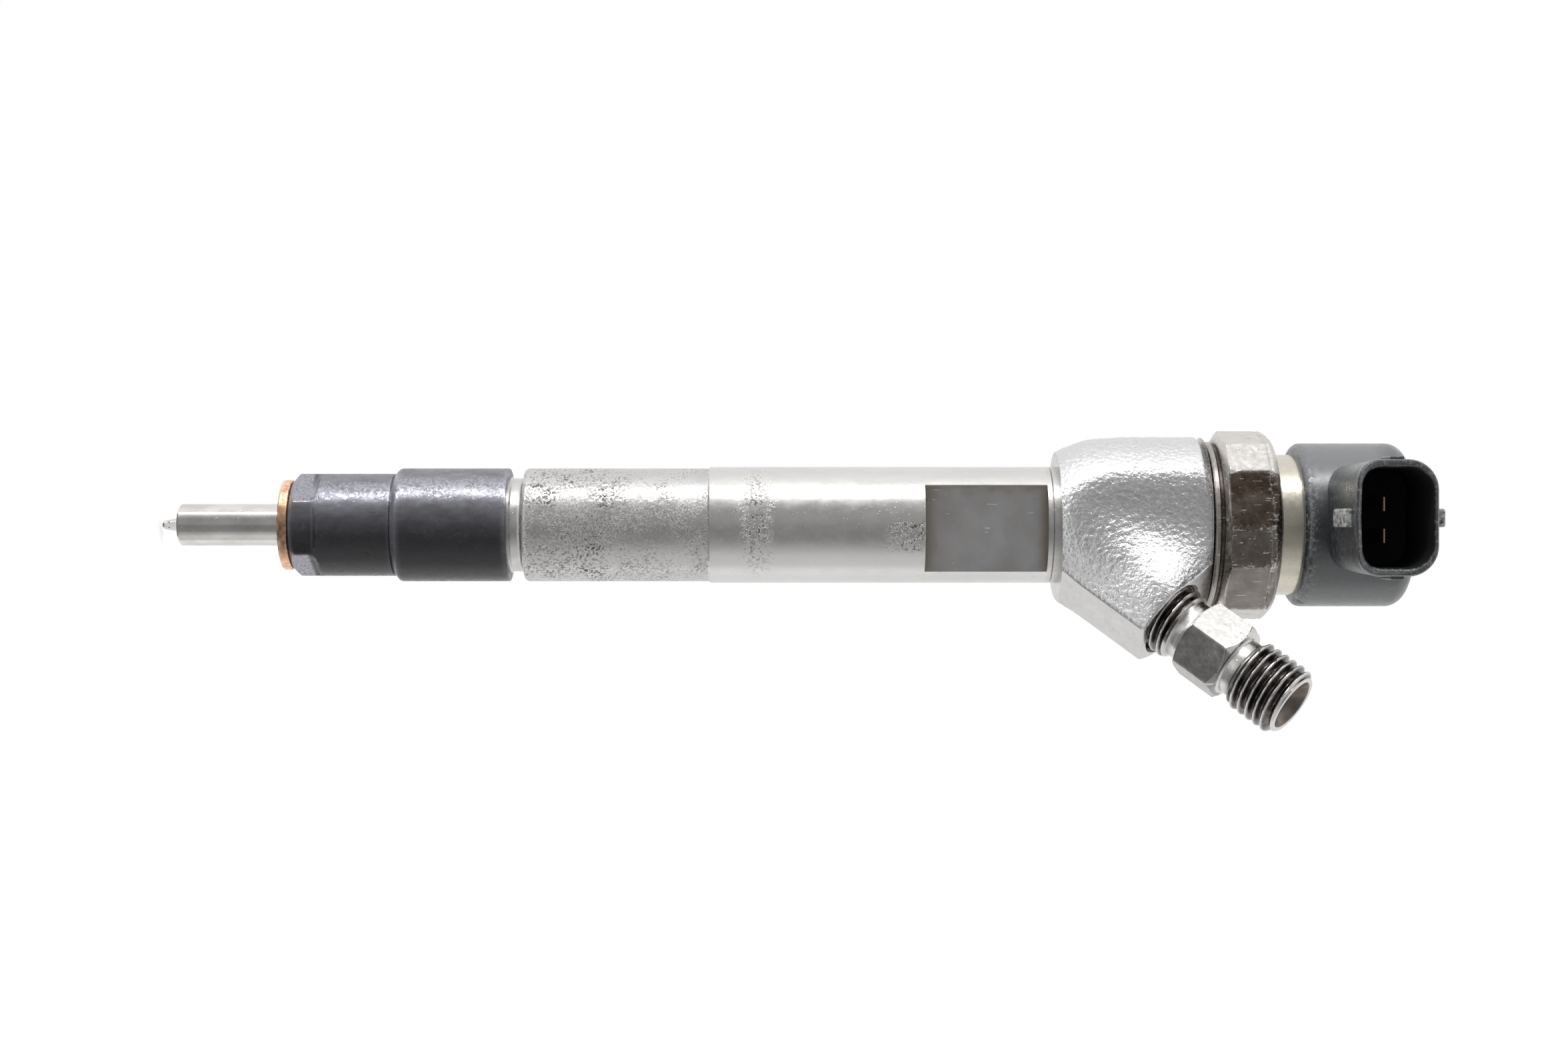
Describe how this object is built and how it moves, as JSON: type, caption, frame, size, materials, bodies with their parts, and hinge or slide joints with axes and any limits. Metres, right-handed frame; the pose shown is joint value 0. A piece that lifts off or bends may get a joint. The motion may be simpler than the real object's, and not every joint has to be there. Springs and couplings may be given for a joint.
{
  "type": "fuel injector",
  "caption": "Solenoid diesel injector: slim steel body with nozzle, oblique threaded fuel inlet and a side electrical connector on a plastic cap.",
  "frame": {"origin": "centre of the copper washer's sealing face, on the injector's axis", "axes": "+Z along the injector's axis from the nozzle up to the solenoid, -Y the way the electrical connector points, +X the side that the fuel inlet leans out to"},
  "size_m": [0.0484, 0.0487, 0.2062],
  "materials": {
    "polished_steel": "polished",
    "ground_steel": "ground",
    "body_steel": "turned, ground and forged, with fine corrosion pits",
    "fitting_steel": "machined",
    "nut_steel": "machined, heat-tinted and scratched",
    "sleeve_steel": "drawn, dull nickel",
    "black_oxide": "black phosphate, worn bright in places",
    "spring_steel": "satin",
    "magnet_iron": "pressed and ground",
    "copper": "turned",
    "winding_copper": "enamelled wire",
    "terminal_brass": "stamped",
    "bobbin_plastic": "moulded",
    "cap_plastic": "moulded, fine grain",
    "seal_rubber": "moulded"
  },
  "bodies": {
    "housing": {"nozzle_body": "polished_steel", "nozzle_dowel_pins": "ground_steel", "combustion_seal_washer": "copper", "nozzle_retaining_nut": "black_oxide", "nozzle_spring_shim": "ground_steel", "injector_body": "body_steel", "inlet_fitting": "fitting_steel", "inlet_seal_ring": "copper", "edge_filter": "ground_steel", "valve_piece": "ground_steel", "valve_piece_seal_ring": "copper", "valve_clamping_nut": "ground_steel", "armature_guide": "ground_steel", "air_gap_ring": "ground_steel", "magnet_core": "magnet_iron", "coil_bobbin": "bobbin_plastic", "coil_winding": "winding_copper", "coil_leads": "winding_copper", "valve_spring_shim": "ground_steel", "magnet_sleeve": "sleeve_steel", "head_o_ring": "seal_rubber", "solenoid_retaining_nut": "nut_steel", "connector_housing": "cap_plastic", "connector_terminals": "terminal_brass", "return_port_sleeve": "ground_steel", "nozzle_spring": "spring_steel", "valve_spring": "spring_steel", "armature_spring": "spring_steel"},
    "needle": {"nozzle_needle": "polished_steel", "pressure_pin": "ground_steel", "control_plunger": "polished_steel"},
    "armature_bolt": {"armature_bolt": "polished_steel", "valve_ball": "polished_steel", "ball_holder": "ground_steel", "armature_lock_ring": "spring_steel"},
    "armature_plate": {"armature_plate": "magnet_iron"}
  },
  "joints": [
    {"name": "needle_lift", "type": "slide", "parent": "housing", "child": "needle", "axis": [0, 0, 1], "range_m": [0, 0.00025], "stiffness_N_per_m": 30000, "springref_m": -0.001, "deforming": ["nozzle_spring"]},
    {"name": "valve_lift", "type": "slide", "parent": "housing", "child": "armature_bolt", "axis": [0, 0, 1], "range_m": [0, 0.00005], "stiffness_N_per_m": 25000, "springref_m": -0.001, "deforming": ["valve_spring"]},
    {"name": "plate_overtravel", "type": "slide", "parent": "armature_bolt", "child": "armature_plate", "axis": [0, 0, 1], "range_m": [-0.00005, 0], "stiffness_N_per_m": 2000, "springref_m": 0.0005, "deforming": ["armature_spring"]}
  ]
}
